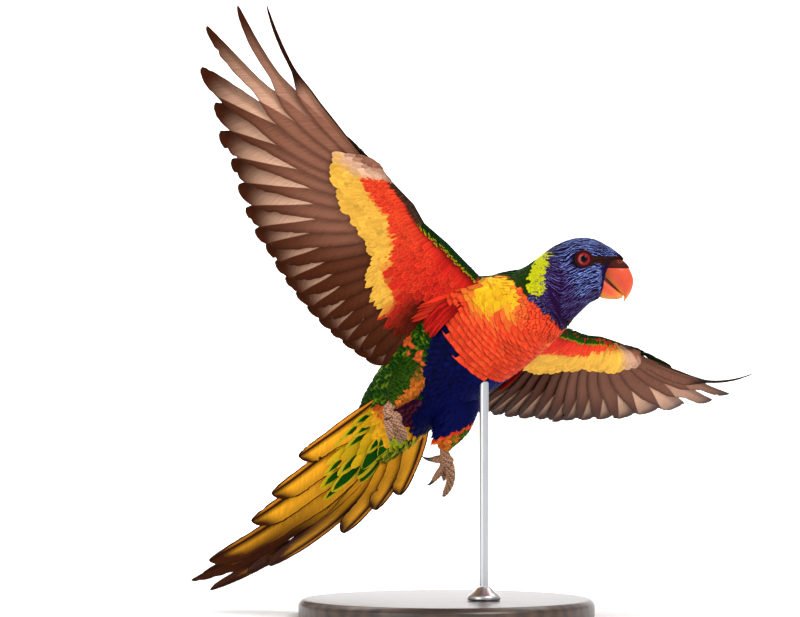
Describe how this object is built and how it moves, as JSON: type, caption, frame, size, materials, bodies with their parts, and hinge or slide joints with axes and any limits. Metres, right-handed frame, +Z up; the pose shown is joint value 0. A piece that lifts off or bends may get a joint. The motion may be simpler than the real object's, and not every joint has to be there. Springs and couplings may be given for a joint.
{
  "type": "bird figure",
  "caption": "Life-size rainbow lorikeet in banking flight with spread wings and fanned tail, on a plain display stand.",
  "frame": {"origin": "middle of the stand's underside, on the floor", "axes": "+Z up, +X the way the bird's head looks, -Y the side its belly is turned to; the bird is banked to its left"},
  "size_m": [0.3181, 0.2447, 0.3267],
  "materials": {
    "feather_breast": "layered plumage, scarlet with yellow, violet-blue and green areas",
    "feather_neck": "layered plumage, lime collar and dark green",
    "feather_head": "short streaked plumage, violet-blue",
    "feather_wing": "flight feathers and coverts, green above, brown, yellow and red below",
    "feather_tail": "long tail feathers, green above, golden below",
    "feather_thigh": "short loose plumage, orange and yellow-green",
    "cere": "bare brown skin",
    "bill": "smooth horn, orange-red",
    "eye": "wet, red iris round a black pupil",
    "foot": "scaly grey-brown skin",
    "claw": "dark horn",
    "base_wood": "dark stained, satin",
    "rod_steel": "satin steel"
  },
  "bodies": {
    "root": {"torso": "feather_breast", "neck": "feather_neck", "head": "feather_head", "cere": "cere", "bill_upper": "bill", "bill_lower": "bill", "eye_right": "eye", "eye_left": "eye", "tail": "feather_tail", "wing_right": "feather_wing", "wing_left": "feather_wing", "thigh_right": "feather_thigh", "thigh_left": "feather_thigh", "foot_right": "foot", "foot_left": "foot", "claw_right_1": "claw", "claw_right_2": "claw", "claw_right_3": "claw", "claw_right_4": "claw", "claw_left_1": "claw", "claw_left_2": "claw", "claw_left_3": "claw", "claw_left_4": "claw", "stand_base": "base_wood", "stand_collar": "rod_steel", "stand_rod": "rod_steel"}
  },
  "joints": []
}
